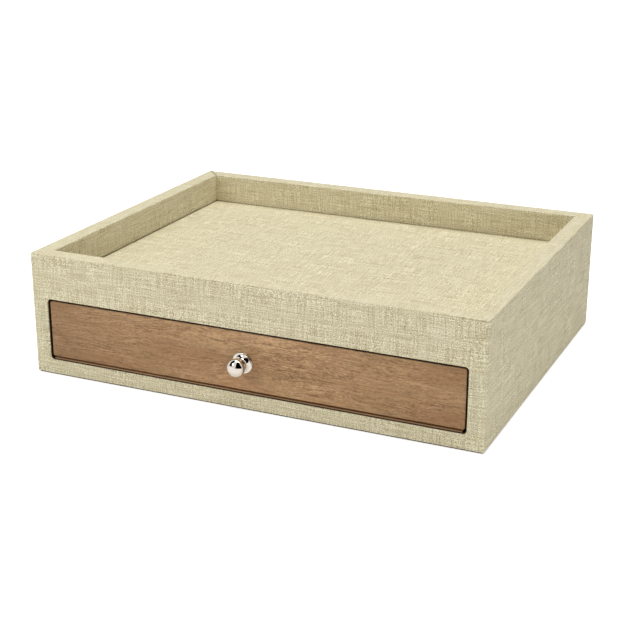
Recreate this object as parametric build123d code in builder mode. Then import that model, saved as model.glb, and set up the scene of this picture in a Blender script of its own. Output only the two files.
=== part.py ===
from build123d import *
from math import acos, degrees, sqrt
import os

os.makedirs("parts", exist_ok=True)

# Desktop tray with one drawer: a mitred box of fibreboard wrapped in linen, an open tray on top
# and a walnut-faced drawer below it. Millimetres, +X right, +Y to the back, +Z up. The origin is
# the centre of the felt pad that the box stands on, and the drawer opens towards -Y.

# Outside of the box
body_width = 330.0
body_depth = 260.0
body_height = 88.0
tray_depth = 22.0

# Sheet and board thicknesses, from the outside in
linen = 0.7
wall_board = 10.6
deck_thickness = 8.1
base_thickness = 9.5
pad_thickness = 2.0
felt_thickness = 1.0
thin_lining = 0.5
floor_sheet = 1.5

# Housings that hold the deck and the base in the walls
deck_housing = 3.0
base_rebate = 4.0

# Rounding of the boards, which the linen follows
corner_ease = 0.4
rim_ease = 0.2
tray_arris_ease = 0.4
hem_ease = 0.35
opening_arris_ease = 0.35
pad_ease = 0.6

# Linen: its turn under the box, the mitred slits at the corners, and the pad's gap to the walls
hem_width = 10.0
slit_width = 0.15
slit_stop = 2.6
pad_gap = 0.25
felt_inset = 1.0
felt_radius = 1.0

# Splines across the four mitres
spline_width = 7.0
spline_thickness = 2.0
spline_margin = 3.0

# Drawer opening and the running clearances round the drawer
front_lip = 0.45
opening_radius = 2.5
reveal = 1.0
front_recess = 1.0
side_play = 1.8
glide_thickness = 1.0
stop_clearance = 0.3

# Stop blocks behind the drawer
stop_length = 6.0
stop_width = 24.0
stop_height = 20.0
stop_spacing = 200.0
stop_ease = 0.8

# Drawer front
veneer = 1.2
veneer_ease = 0.6
front_board = 8.4

# Drawer box
box_drop = 5.7
box_board = 8.0
lap_depth = 4.0
bottom_sheet = 3.0
bottom_groove = 3.0
bottom_rise = 4.0
box_arris_ease = 0.8
felt_lining = 1.0
lining_gap = 0.3
glide_width = 6.0
glide_end_gap = 6.0

# Pins through the lapped corners of the drawer box
pin_radius = 0.6
pin_length = 16.0
pin_count = 2
pin_margin = 7.0

# Screws through the inner front into the drawer front
fixing_spacing = 220.0
fixing_radius = 1.5
fixing_length = 14.0
fixing_clearance = 0.2
fixing_head_radius = 3.0
fixing_head_height = 1.9

# Turned knob with its machine screw and washer
foot_radius = 7.3
foot_edge = 0.8
foot_lip = 0.3
foot_bevel = 0.2
neck_radius = 3.4
ball_radius = 6.5
ball_distance = 10.0
knob_height = 33.1
knob_offset = -1.9
thread_radius = 2.0
thread_clearance = 0.1
knob_screw_length = 25.0
bore_tip_gap = 1.5
knob_head_radius = 4.0
knob_head_height = 2.6
washer_radius = 4.8
washer_thickness = 0.8

# Both kinds of screw: bevel and cross of the head, as shares of the head, and the tip
head_bevel = 0.3
cross_span = 0.95
cross_slot = 0.2
cross_depth = 0.5
screw_tip = 0.5

# Levels, worked out from the sheet thicknesses
hem_level = felt_thickness
wall_bottom = hem_level + linen
base_top = wall_bottom + base_thickness
floor_level = base_top + floor_sheet
rim_board_top = body_height - linen
tray_floor = body_height - tray_depth
deck_top = tray_floor - pad_thickness
deck_bottom = deck_top - deck_thickness
ceiling_level = deck_bottom - thin_lining

# Widths and depths of the walls, inside and outside
wall = linen + wall_board + linen
board_width = body_width - 2 * linen
board_depth = body_depth - 2 * linen
inner_width = board_width - 2 * wall_board
inner_depth = board_depth - 2 * wall_board
tray_width = body_width - 2 * wall
tray_length = body_depth - 2 * wall
front_y = -body_depth / 2
inner_back_y = inner_depth / 2

# Drawer opening: cut in the front, and the clear size inside its lining
cut_width = inner_width - 2 * front_lip
cut_height = deck_bottom - base_top
cut_radius = opening_radius + thin_lining
opening_width = cut_width - 2 * thin_lining
opening_height = cut_height - 2 * thin_lining
opening_centre = (deck_bottom + base_top) / 2

# Drawer, from its front face to its back
drawer_face = front_y + front_recess
veneer_back = drawer_face + veneer
box_front = veneer_back + front_board
box_back = inner_back_y - stop_length - stop_clearance
box_length = box_back - box_front
drawer_bottom_level = floor_level + glide_thickness
drawer_top_level = ceiling_level - reveal
face_width = opening_width - 2 * reveal
face_height = drawer_top_level - drawer_bottom_level
face_centre = (drawer_top_level + drawer_bottom_level) / 2
face_radius = opening_radius - reveal
box_width = opening_width - 2 * side_play
box_height = face_height - box_drop
box_top = drawer_bottom_level + box_height
box_middle_y = (box_front + box_back) / 2
inside_width = box_width - 2 * box_board
inside_length = box_length - 2 * box_board
bottom_level = drawer_bottom_level + bottom_rise
bottom_top = bottom_level + bottom_sheet
screw_seat = box_front + box_board

# Planes: the front of the box, the drawer's face, and the knob's section
opening_plane = Plane(origin=(0, front_y, opening_centre), x_dir=(1, 0, 0), z_dir=(0, -1, 0))
face_plane = Plane(origin=(0, drawer_face, face_centre), x_dir=(1, 0, 0), z_dir=(0, -1, 0))
knob_plane = Plane(origin=(knob_offset, drawer_face, knob_height), x_dir=(0, 0, 1), z_dir=(1, 0, 0))
bore_plane = Plane(origin=(knob_offset, drawer_face, knob_height), x_dir=(1, 0, 0), z_dir=(0, -1, 0))
fixing_plane = Plane(origin=(0, box_front, knob_height), x_dir=(1, 0, 0), z_dir=(0, -1, 0))


def mitred_zone(length, half_across, turn):
    """Prism that one wall fills between its two 45 degree mitres, for a wall facing -Y turned about Z."""
    with BuildPart() as zone:
        with BuildSketch(Plane.XY.rotated((0, 0, turn))):
            with BuildLine():
                Polyline(
                    (-length / 2, -half_across),
                    (length / 2, -half_across),
                    (length / 2 - wall, -half_across + wall),
                    (-length / 2 + wall, -half_across + wall),
                    close=True,
                )
            make_face()
        extrude(amount=body_height)
    return zone.part


def splines():
    """Loose splines across the four mitres of the boards, between the base and the deck."""
    middle_x = (board_width - wall_board) / 2
    middle_y = (board_depth - wall_board) / 2
    with BuildPart() as four:
        with BuildSketch(Plane.XY.offset(base_top + spline_margin)):
            for side in (-1, 1):
                for end in (-1, 1):
                    with Locations((side * middle_x, end * middle_y)):
                        Rectangle(spline_width, spline_thickness, rotation=-45 * side * end)
        extrude(amount=deck_bottom - base_top - 2 * spline_margin)
    return four.part


def pan_head_screw(seat, shank_radius, length, head_radius, head_height):
    """Pan-head screw that points to -Y. seat is the plane under its head, with its normal to +Y."""
    with BuildPart() as screw:
        with BuildSketch(seat):
            Circle(head_radius)
        extrude(amount=head_height)
        chamfer(screw.faces().sort_by(Axis.Y)[-1].edges(), head_height * head_bevel)
        with BuildSketch(seat.offset(head_height)):
            Rectangle(head_radius * cross_span, head_radius * cross_slot)
            Rectangle(head_radius * cross_slot, head_radius * cross_span)
        extrude(amount=-head_height * cross_depth, mode=Mode.SUBTRACT)
        with BuildSketch(seat):
            Circle(shank_radius)
        extrude(amount=-length)
        chamfer(screw.faces().sort_by(Axis.Y)[0].edges(), screw_tip)
    return screw.part


# The four walls start as one ring, so that every housing runs round all of them
with BuildPart() as wall_ring:
    with BuildSketch(Plane.XY.offset(wall_bottom)):
        RectangleRounded(board_width, board_depth, corner_ease)
        Rectangle(inner_width, inner_depth, mode=Mode.SUBTRACT)
    extrude(amount=rim_board_top - wall_bottom)
    rim_face = wall_ring.faces().sort_by(Axis.Z)[-1]
    fillet(rim_face.outer_wire().edges(), rim_ease)
    rim_face = wall_ring.faces().sort_by(Axis.Z)[-1]
    fillet(rim_face.inner_wires()[0].edges(), tray_arris_ease)
    with BuildSketch(Plane.XY.offset(deck_bottom)):
        Rectangle(inner_width + 2 * deck_housing, inner_depth + 2 * deck_housing)
    extrude(amount=deck_thickness, mode=Mode.SUBTRACT)
    with BuildSketch(Plane.XY.offset(wall_bottom)):
        Rectangle(inner_width + 2 * base_rebate, inner_depth + 2 * base_rebate)
    extrude(amount=base_thickness, mode=Mode.SUBTRACT)
    add(splines(), mode=Mode.SUBTRACT)

# Front: the same wall with the round-cornered drawer opening
with BuildPart() as front_frame:
    add(wall_ring.part)
    add(mitred_zone(body_width, body_depth / 2, 0), mode=Mode.INTERSECT)
    with BuildSketch(opening_plane):
        RectangleRounded(cut_width, cut_height, cut_radius)
    extrude(amount=-wall, mode=Mode.SUBTRACT)
front_frame.part.label = "front_frame"
export_step(front_frame.part, "parts/front_frame.step")

with BuildPart() as right_side_panel:
    add(wall_ring.part)
    add(mitred_zone(body_depth, body_width / 2, 90), mode=Mode.INTERSECT)
right_side_panel.part.label = "right_side_panel"
export_step(right_side_panel.part, "parts/right_side_panel.step")

with BuildPart() as back_panel:
    add(wall_ring.part)
    add(mitred_zone(body_width, body_depth / 2, 180), mode=Mode.INTERSECT)
back_panel.part.label = "back_panel"
export_step(back_panel.part, "parts/back_panel.step")

with BuildPart() as left_side_panel:
    add(wall_ring.part)
    add(mitred_zone(body_depth, body_width / 2, 270), mode=Mode.INTERSECT)
left_side_panel.part.label = "left_side_panel"
export_step(left_side_panel.part, "parts/left_side_panel.step")

with BuildPart() as corner_splines:
    add(splines())
corner_splines.part.label = "corner_splines"
export_step(corner_splines.part, "parts/corner_splines.step")

# Boards let into the walls
with BuildPart() as deck_board:
    with BuildSketch(Plane.XY.offset(deck_bottom)):
        Rectangle(inner_width + 2 * deck_housing, inner_depth + 2 * deck_housing)
    extrude(amount=deck_thickness)
deck_board.part.label = "deck_board"
export_step(deck_board.part, "parts/deck_board.step")

with BuildPart() as base_board:
    with BuildSketch(Plane.XY.offset(wall_bottom)):
        Rectangle(inner_width + 2 * base_rebate, inner_depth + 2 * base_rebate)
    extrude(amount=base_thickness)
base_board.part.label = "base_board"
export_step(base_board.part, "parts/base_board.step")

# Linen-covered card that makes the tray floor
with BuildPart() as tray_floor_pad:
    with BuildSketch(Plane.XY.offset(deck_top)):
        Rectangle(tray_width - 2 * pad_gap, tray_length - 2 * pad_gap)
    extrude(amount=pad_thickness)
    fillet(tray_floor_pad.faces().sort_by(Axis.Z)[-1].edges(), pad_ease)
tray_floor_pad.part.label = "tray_floor_pad"
export_step(tray_floor_pad.part, "parts/tray_floor_pad.step")

# Under the box: the linen is turned in, card fills the field between, and felt covers both
with BuildPart() as base_infill_card:
    with BuildSketch(Plane.XY.offset(hem_level)):
        Rectangle(body_width - 2 * hem_width, body_depth - 2 * hem_width)
    extrude(amount=linen)
base_infill_card.part.label = "base_infill_card"
export_step(base_infill_card.part, "parts/base_infill_card.step")

with BuildPart() as base_felt:
    with BuildSketch():
        RectangleRounded(body_width - 2 * felt_inset, body_depth - 2 * felt_inset, felt_radius)
    extrude(amount=felt_thickness)
base_felt.part.label = "base_felt"
export_step(base_felt.part, "parts/base_felt.step")

# Linen: one strip round the outside, over the rim and down the tray walls, turned under the box.
# It is slit along the mitres of the rim and hem, and its two ends meet at the back left corner.
with BuildPart() as linen_wrap:
    with BuildSketch(Plane.XY.offset(hem_level)):
        RectangleRounded(body_width, body_depth, corner_ease + linen)
    extrude(amount=body_height - hem_level)
    chamfer(linen_wrap.faces().sort_by(Axis.Z)[0].edges(), min(hem_ease, linen / 2))
    fillet(linen_wrap.faces().sort_by(Axis.Z)[-1].edges(), rim_ease + linen)
    with BuildSketch(Plane.XY.offset(body_height)):
        Rectangle(tray_width, tray_length)
    extrude(amount=deck_top - body_height, mode=Mode.SUBTRACT)
    rim_face = linen_wrap.faces().filter_by(GeomType.PLANE).sort_by(Axis.Z)[-1]
    fillet(rim_face.inner_wires()[0].edges(), tray_arris_ease + linen)
    add(wall_ring.part, mode=Mode.SUBTRACT)
    add(splines(), mode=Mode.SUBTRACT)
    add(deck_board.part, mode=Mode.SUBTRACT)
    add(base_board.part, mode=Mode.SUBTRACT)
    add(base_infill_card.part, mode=Mode.SUBTRACT)
    with BuildSketch(Plane.XY.offset(base_top)):
        Rectangle(inner_width, inner_depth)
    extrude(amount=deck_top - base_top, mode=Mode.SUBTRACT)
    with BuildSketch(opening_plane):
        RectangleRounded(cut_width, cut_height, cut_radius)
    extrude(amount=-wall, mode=Mode.SUBTRACT)
    front_face = linen_wrap.faces().filter_by(Axis.Y).sort_by(Axis.Y)[0]
    fillet(front_face.inner_wires()[0].edges(), min(opening_arris_ease, linen / 2))
    with BuildSketch(Plane.XY.offset(hem_level)):
        for side in (-1, 1):
            for end in (-1, 1):
                is_seam = side < 0 < end
                slit_start = -slit_width if is_seam else slit_stop
                slit_end = wall + slit_width
                middle = (slit_start + slit_end) / 2
                with Locations((side * (body_width / 2 - middle), end * (body_depth / 2 - middle))):
                    slit_length = (slit_end - slit_start) * sqrt(2)
                    Rectangle(slit_length, slit_width, rotation=45 * side * end)
    extrude(amount=body_height - hem_level, mode=Mode.SUBTRACT)
linen_wrap.part.label = "linen_wrap"
export_step(linen_wrap.part, "parts/linen_wrap.step")

# Dark stained lining of the opening's reveal
with BuildPart() as opening_lining:
    with BuildSketch(opening_plane.offset(-linen)):
        RectangleRounded(cut_width, cut_height, cut_radius)
        RectangleRounded(opening_width, opening_height, opening_radius, mode=Mode.SUBTRACT)
    extrude(amount=-wall_board)
opening_lining.part.label = "opening_lining"
export_step(opening_lining.part, "parts/opening_lining.step")

# Wooden floor sheet that the drawer runs on. Its tongue passes over the lining and shows as a sill.
with BuildPart() as compartment_floor_lining:
    with BuildSketch(Plane.XY.offset(base_top)):
        Rectangle(inner_width, inner_depth)
        with Locations((0, front_y + linen + wall_board / 2)):
            Rectangle(opening_width - 2 * opening_radius, wall_board)
    extrude(amount=floor_sheet)
    add(opening_lining.part, mode=Mode.SUBTRACT)
compartment_floor_lining.part.label = "compartment_floor_lining"
export_step(compartment_floor_lining.part, "parts/compartment_floor_lining.step")

with BuildPart() as rear_stops:
    with BuildSketch(Plane.XY.offset(floor_level)):
        with Locations((0, inner_back_y - stop_length / 2)):
            with GridLocations(stop_spacing, 1, 2, 1):
                Rectangle(stop_width, stop_length)
    extrude(amount=stop_height)
    fillet(rear_stops.edges().filter_by(Axis.X).group_by(Axis.Z)[-1].group_by(Axis.Y)[0], stop_ease)
rear_stops.part.label = "rear_stops"
export_step(rear_stops.part, "parts/rear_stops.step")

# Drawer front: walnut sheet with eased edges on a round-cornered board
with BuildPart() as drawer_front_veneer:
    with BuildSketch(face_plane):
        RectangleRounded(face_width, face_height, face_radius)
    extrude(amount=-veneer)
    fillet(drawer_front_veneer.faces().sort_by(Axis.Y)[0].edges(), min(veneer_ease, veneer / 2))
    with BuildSketch(bore_plane):
        Circle(thread_radius + thread_clearance)
    extrude(amount=-veneer, mode=Mode.SUBTRACT)
drawer_front_veneer.part.label = "drawer_front_veneer"
export_step(drawer_front_veneer.part, "parts/drawer_front_veneer.step")

with BuildPart() as drawer_front_board:
    with BuildSketch(face_plane.offset(-veneer)):
        RectangleRounded(face_width, face_height, face_radius)
    extrude(amount=-front_board)
    with BuildSketch(bore_plane.offset(-veneer)):
        Circle(thread_radius + thread_clearance)
    extrude(amount=-front_board, mode=Mode.SUBTRACT)
    with BuildSketch(fixing_plane):
        with GridLocations(fixing_spacing, 1, 2, 1):
            Circle(fixing_radius)
    extrude(amount=fixing_length - box_board, mode=Mode.SUBTRACT)
drawer_front_board.part.label = "drawer_front_board"
export_step(drawer_front_board.part, "parts/drawer_front_board.step")

# Drawer box: the sides lap the inner front and the back, and the bottom slides in their grooves
with BuildPart() as drawer_bottom:
    with BuildSketch(Plane((0, box_middle_y, bottom_level))):
        Rectangle(inside_width + 2 * bottom_groove, inside_length + 2 * bottom_groove)
    extrude(amount=bottom_sheet)
drawer_bottom.part.label = "drawer_bottom"
export_step(drawer_bottom.part, "parts/drawer_bottom.step")

# Pins, a row at each corner of the box, through the lap and into the end of the board behind it
with BuildPart() as drawer_corner_pins:
    for side in (-1, 1):
        for y in (box_front + box_board / 2, box_back - box_board / 2):
            pin_plane = Plane(
                origin=(side * box_width / 2, y, (drawer_bottom_level + box_top) / 2),
                x_dir=(0, 1, 0),
                z_dir=(-side, 0, 0),
            )
            pin_span = box_height - 2 * pin_margin
            with BuildSketch(pin_plane):
                with GridLocations(1, pin_span / (pin_count - 1), 1, pin_count):
                    Circle(pin_radius)
            extrude(amount=pin_length)
drawer_corner_pins.part.label = "drawer_corner_pins"
export_step(drawer_corner_pins.part, "parts/drawer_corner_pins.step")


def drawer_side(side):
    """Side board of the drawer box, rebated at both ends, with the groove for the bottom."""
    with BuildPart() as board:
        side_x = side * (box_width - box_board) / 2
        with BuildSketch(Plane((side_x, box_middle_y, drawer_bottom_level))):
            Rectangle(box_board, box_length)
        extrude(amount=box_height)
        fillet(board.faces().sort_by(Axis.Z)[-1].edges().filter_by(Axis.Y), box_arris_ease)
        with BuildSketch(Plane((0, box_middle_y, drawer_bottom_level))):
            with GridLocations(1, box_length - box_board, 1, 2):
                Rectangle(box_width - 2 * lap_depth, box_board)
        extrude(amount=box_height, mode=Mode.SUBTRACT)
        add(drawer_bottom.part, mode=Mode.SUBTRACT)
        add(drawer_corner_pins.part, mode=Mode.SUBTRACT)
    return board.part


def drawer_end(y):
    """Board that closes one end of the drawer box between the laps of the sides."""
    with BuildPart() as board:
        with BuildSketch(Plane((0, y, drawer_bottom_level))):
            Rectangle(box_width - 2 * lap_depth, box_board)
        extrude(amount=box_height)
        fillet(board.faces().sort_by(Axis.Z)[-1].edges().filter_by(Axis.X), box_arris_ease)
        add(drawer_bottom.part, mode=Mode.SUBTRACT)
        add(drawer_corner_pins.part, mode=Mode.SUBTRACT)
    return board.part


with BuildPart() as drawer_left_side:
    add(drawer_side(-1))
drawer_left_side.part.label = "drawer_left_side"
export_step(drawer_left_side.part, "parts/drawer_left_side.step")

with BuildPart() as drawer_right_side:
    add(drawer_side(1))
drawer_right_side.part.label = "drawer_right_side"
export_step(drawer_right_side.part, "parts/drawer_right_side.step")

with BuildPart() as drawer_back:
    add(drawer_end(box_back - box_board / 2))
drawer_back.part.label = "drawer_back"
export_step(drawer_back.part, "parts/drawer_back.step")

with BuildPart() as drawer_inner_front:
    add(drawer_end(box_front + box_board / 2))
    with BuildSketch(bore_plane.offset(drawer_face - screw_seat)):
        Circle(thread_radius + thread_clearance)
    extrude(amount=box_board, mode=Mode.SUBTRACT)
    with BuildSketch(fixing_plane.offset(-box_board)):
        with GridLocations(fixing_spacing, 1, 2, 1):
            Circle(fixing_radius + fixing_clearance)
    extrude(amount=box_board, mode=Mode.SUBTRACT)
drawer_inner_front.part.label = "drawer_inner_front"
export_step(drawer_inner_front.part, "parts/drawer_inner_front.step")

with BuildPart() as drawer_lining:
    with BuildSketch(Plane((0, box_middle_y, bottom_top))):
        Rectangle(inside_width - 2 * lining_gap, inside_length - 2 * lining_gap)
    extrude(amount=felt_lining)
drawer_lining.part.label = "drawer_lining"
export_step(drawer_lining.part, "parts/drawer_lining.step")

with BuildPart() as drawer_glides:
    with BuildSketch(Plane((0, box_middle_y, floor_level))):
        with GridLocations(box_width - box_board, 1, 2, 1):
            Rectangle(glide_width, box_length - 2 * glide_end_gap)
    extrude(amount=glide_thickness)
drawer_glides.part.label = "drawer_glides"
export_step(drawer_glides.part, "parts/drawer_glides.step")

# Screws that hold the front, driven from inside the box
with BuildPart() as front_fixing_screws:
    for side in (-1, 1):
        fixing_seat = Plane(
            origin=(side * fixing_spacing / 2, screw_seat, knob_height),
            x_dir=(1, 0, 0),
            z_dir=(0, 1, 0),
        )
        add(
            pan_head_screw(
                fixing_seat,
                fixing_radius,
                fixing_length,
                fixing_head_radius,
                fixing_head_height,
            )
        )
front_fixing_screws.part.label = "front_fixing_screws"
export_step(front_fixing_screws.part, "parts/front_fixing_screws.step")

# Knob: a flared foot, a short neck and a ball, turned in one piece
with BuildPart() as knob:
    flare = foot_radius - foot_lip - neck_radius
    neck_angle = degrees(acos(neck_radius / ball_radius))
    with BuildSketch(knob_plane):
        with BuildLine():
            Polyline(
                (0, 0),
                (foot_radius, 0),
                (foot_radius, foot_edge - foot_bevel),
                (foot_radius - foot_bevel, foot_edge),
                (foot_radius - foot_lip, foot_edge),
            )
            flared = CenterArc((foot_radius - foot_lip, foot_edge + flare), flare, 270, -90)
            ball = CenterArc((0, ball_distance), ball_radius, -neck_angle, 90 + neck_angle)
            Line(flared @ 1, ball @ 0)
            Line(ball @ 1, (0, 0))
        make_face()
    revolve(axis=Axis((knob_offset, drawer_face, knob_height), (0, -1, 0)))
    with BuildSketch(bore_plane):
        Circle(thread_radius + thread_clearance)
    bore_depth = knob_screw_length - washer_thickness - box_board - front_board - veneer
    extrude(amount=bore_depth + bore_tip_gap, mode=Mode.SUBTRACT)
knob.part.label = "knob"
export_step(knob.part, "parts/knob.step")

with BuildPart() as knob_washer:
    with BuildSketch(bore_plane.offset(drawer_face - screw_seat)):
        Circle(washer_radius)
        Circle(thread_radius + thread_clearance, mode=Mode.SUBTRACT)
    extrude(amount=-washer_thickness)
knob_washer.part.label = "knob_washer"
export_step(knob_washer.part, "parts/knob_washer.step")

with BuildPart() as knob_screw:
    knob_seat = Plane(
        origin=(knob_offset, screw_seat + washer_thickness, knob_height),
        x_dir=(1, 0, 0),
        z_dir=(0, 1, 0),
    )
    add(
        pan_head_screw(
            knob_seat,
            thread_radius,
            knob_screw_length,
            knob_head_radius,
            knob_head_height,
        )
    )
knob_screw.part.label = "knob_screw"
export_step(knob_screw.part, "parts/knob_screw.step")
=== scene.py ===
# %% [markdown]
# # A linen-wrapped desk tray with a walnut drawer
# The object is a low box for a desk top. Its upper side is an open tray, and a drawer with a
# small ball knob fills its front. The boards, the drawer and their joints come as a finished
# model, and this lesson gives them their surfaces: cloth, veneer, felt, metal and bare wood.
# Everything stays in the model's own frame, in metres, so a new piece goes exactly where the
# model says. Lengths are written here in millimetres and turned to metres in one place.

# %% Load the model and keep its size
import bpy
import numpy as np
from mathutils import Matrix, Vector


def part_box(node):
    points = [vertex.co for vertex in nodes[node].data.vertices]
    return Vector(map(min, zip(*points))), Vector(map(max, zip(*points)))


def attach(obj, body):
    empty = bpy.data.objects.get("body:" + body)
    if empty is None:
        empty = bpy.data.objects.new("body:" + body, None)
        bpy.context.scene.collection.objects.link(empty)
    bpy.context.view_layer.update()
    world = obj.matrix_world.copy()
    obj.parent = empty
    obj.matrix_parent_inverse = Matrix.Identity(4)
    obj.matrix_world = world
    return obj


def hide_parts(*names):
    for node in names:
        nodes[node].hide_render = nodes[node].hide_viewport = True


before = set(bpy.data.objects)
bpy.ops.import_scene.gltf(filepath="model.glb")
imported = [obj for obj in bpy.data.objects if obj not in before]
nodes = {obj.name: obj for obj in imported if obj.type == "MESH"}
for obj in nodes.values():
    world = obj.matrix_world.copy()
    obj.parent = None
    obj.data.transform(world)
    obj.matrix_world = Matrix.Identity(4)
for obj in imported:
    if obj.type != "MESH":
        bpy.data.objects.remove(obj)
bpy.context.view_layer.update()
MM = 0.001


# %% [markdown]
# ## Sizes from the model
# Each new piece takes its size from the solid that it stands for. One helper reads the lowest
# and highest corner of a solid in millimetres, and the named sizes below all come from it.

# %% Read the sizes that the new pieces share
def corners(node):
    """Lowest and highest corner of one solid of the model, in millimetres."""
    low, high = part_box(node)
    return np.array(low) / MM, np.array(high) / MM


wrap_low, wrap_high = corners("linen_wrap")
card_low, card_high = corners("base_infill_card")
pad_low, pad_high = corners("tray_floor_pad")
lining_low, lining_high = corners("opening_lining")
body_width, body_depth = (wrap_high - wrap_low)[:2]
hem_level, rim_level = wrap_low[2], wrap_high[2]
linen_thickness = card_high[2] - card_low[2]
hem_width = (body_width - (card_high - card_low)[0]) / 2
pad_gap = 0.25
wall = (body_width - (pad_high - pad_low)[0]) / 2 - pad_gap
opening_half = (lining_high - lining_low)[[0, 2]] / 2
opening_level = (lining_high + lining_low)[2] / 2
print("body", body_width, body_depth, "wall", wall, "opening", 2 * opening_half)


# %% [markdown]
# ## Meshes from arrays
# Every new surface here is a formula over two parameters, worked out with numpy for all its
# points at once. Three helpers are enough: one joins the points of a grid into four-sided
# faces, one writes points, faces and a flat pattern into a mesh, and one gives the outline of
# a rounded rectangle.

# %% Helpers for grids, meshes and outlines
def grid_faces(rows, columns, closed=False):
    """Faces of a grid whose point (row, column) has the number row * columns + column."""
    steps = columns if closed else columns - 1
    row, column = np.meshgrid(np.arange(rows - 1), np.arange(steps), indexing="ij")
    beside = (column + 1) % columns
    faces = [row * columns + column, row * columns + beside]
    faces += [(row + 1) * columns + beside, (row + 1) * columns + column]
    return np.stack(faces, axis=-1).reshape(-1, 4)


def make_piece(name, points, faces, body, pattern=None):
    """Object at the origin from points in millimetres. pattern is a flat place for each point."""
    mesh = bpy.data.meshes.new(name)
    mesh.from_pydata((np.asarray(points) * MM).tolist(), [], [list(face) for face in faces])
    mesh.polygons.foreach_set("use_smooth", np.ones(len(mesh.polygons), bool))
    if pattern is not None:
        corner_point = np.zeros(len(mesh.loops), int)
        mesh.loops.foreach_get("vertex_index", corner_point)
        layer = mesh.uv_layers.new(name="cloth")
        layer.data.foreach_set("uv", np.asarray(pattern)[corner_point].ravel())
    mesh.validate()
    piece = bpy.data.objects.new(name, mesh)
    bpy.context.scene.collection.objects.link(piece)
    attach(piece, body)
    print(name, "has", len(mesh.vertices), "points and", len(mesh.polygons), "faces")
    return piece


def rounded_outline(half_sizes, radius, steps=8):
    """Rounded rectangle: centres of its corner arcs, and the outward direction at each point."""
    turn = np.linspace(0, np.pi / 2, steps + 1)
    angle = np.concatenate([turn + quarter * np.pi / 2 for quarter in range(4)])
    side = np.repeat([[1, 1], [-1, 1], [-1, -1], [1, -1]], steps + 1, axis=0)
    centres = side * (np.asarray(half_sizes) - radius)
    return centres, np.stack([np.cos(angle), np.sin(angle)], axis=1)


print("helpers ready")


# %% [markdown]
# ## The linen strip
# The cover is made as one strip of paper-backed linen that runs round the whole box. It is
# turned under the box, rises up the wall, goes over the rim and down the tray's inner wall. At
# each corner the rim is slit along the mitre, and the strip's two ends meet at the back left
# corner. How the real cover was cut isn't known: its back, its left side and its underside
# aren't in the picture.
# A section carried along a path makes this shape: the section gives how far each row lies from
# the outside and at what level, and the path is a rounded rectangle that shrinks by that
# distance. Each side has its own columns, so that the slits fall between two sides.

# %% Section of the strip
corner_radius = 1.1
fold_radius = 0.5
rim_radius = 0.6
arris_radius = 0.8
inner_corner_radius = 0.25
opening_radius = 2.5  # that of the opening in the solids
opening_margin = 4.0
support = 0.4  # a row this far from each bend keeps the flat cloth flat
slit_stop = 2.6  # the slits end this far in from the outside
slit_half = 0.11  # half widths of the slits, of the ends' seam, and of both on the inner wall
seam_half = 0.17
inner_slit_half = 0.02
arc_columns = 4


def fine_near(edges, reach, low, high, coarse, fine):
    """Sorted places from low to high: coarse steps, and fine steps within reach of each edge."""
    places = [np.linspace(low, high, int(np.ceil((high - low) / coarse)) + 1)]
    for edge in edges:
        places.append(np.arange(edge - reach, edge + reach + fine / 2, fine))
    places = np.unique(np.round(np.concatenate(places), 3))
    places = places[(places >= low) & (places <= high)]
    keep = np.concatenate([[True], np.diff(places) > fine / 3])
    keep[-1] = True
    return places[keep]


bend = np.linspace(0, np.pi / 2, 7)
opening_low = opening_level - opening_half[1]
opening_high = opening_level + opening_half[1]
block_low = opening_low - opening_margin
block_high = opening_high + opening_margin
wall_levels = np.unique(np.concatenate([
    [hem_level + fold_radius, hem_level + fold_radius + support],
    fine_near([opening_low, opening_high], opening_margin, block_low, block_high, 4.0, 1.0),
    np.arange(block_high + 4, rim_level - rim_radius - 2, 4.0),
    [rim_level - rim_radius - support, rim_level - rim_radius],
]))
inner_levels = np.linspace(rim_level - arris_radius - support, pad_low[2], 8)
strip_inward = np.concatenate([
    [hem_width, hem_width / 2, slit_stop, fold_radius + support],
    fold_radius - fold_radius * np.sin(bend),
    np.zeros(len(wall_levels) - 2),
    rim_radius - rim_radius * np.cos(bend),
    [rim_radius + support, slit_stop, 5.0, 8.0, wall - arris_radius - support],
    wall - arris_radius + arris_radius * np.sin(bend),
    np.full(len(inner_levels), wall),
])
strip_level = np.concatenate([
    np.full(4, hem_level),
    hem_level + fold_radius - fold_radius * np.cos(bend),
    wall_levels[1:-1],
    rim_level - rim_radius + rim_radius * np.sin(bend),
    np.full(5, rim_level),
    rim_level - arris_radius + arris_radius * np.cos(bend),
    inner_levels,
])
strip_run = np.concatenate([[0], np.cumsum(np.hypot(np.diff(strip_inward), np.diff(strip_level)))])
print("strip section:", len(strip_run), "rows,", round(strip_run[-1], 1), "mm from edge to edge")

# %% Carry the section round the box
sides = {
    "left": (np.array([-1, 0]), np.array([0, -1]), body_width / 2, body_depth / 2),
    "front": (np.array([0, -1]), np.array([1, 0]), body_depth / 2, body_width / 2),
    "right": (np.array([1, 0]), np.array([0, 1]), body_width / 2, body_depth / 2),
    "back": (np.array([0, 1]), np.array([-1, 0]), body_depth / 2, body_width / 2),
}
path_radius = np.maximum(corner_radius - strip_inward, inner_corner_radius)[:, None]
on_inner_wall = strip_inward[:, None] > wall - 0.01
slit_angle = np.arcsin(np.where(on_inner_wall, inner_slit_half, slit_half) / path_radius)
seam_angle = np.arcsin(np.where(on_inner_wall, inner_slit_half, seam_half) / path_radius)
block_edge = opening_half[0] + opening_margin
straight_front = body_width / 2 - corner_radius
front_places = np.unique(np.concatenate([
    fine_near(
        [-opening_half[0], opening_half[0]], opening_margin, -block_edge, block_edge, 5.0, 1.0
    ),
    [-straight_front, -straight_front + support, straight_front - support, straight_front],
]))


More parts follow.
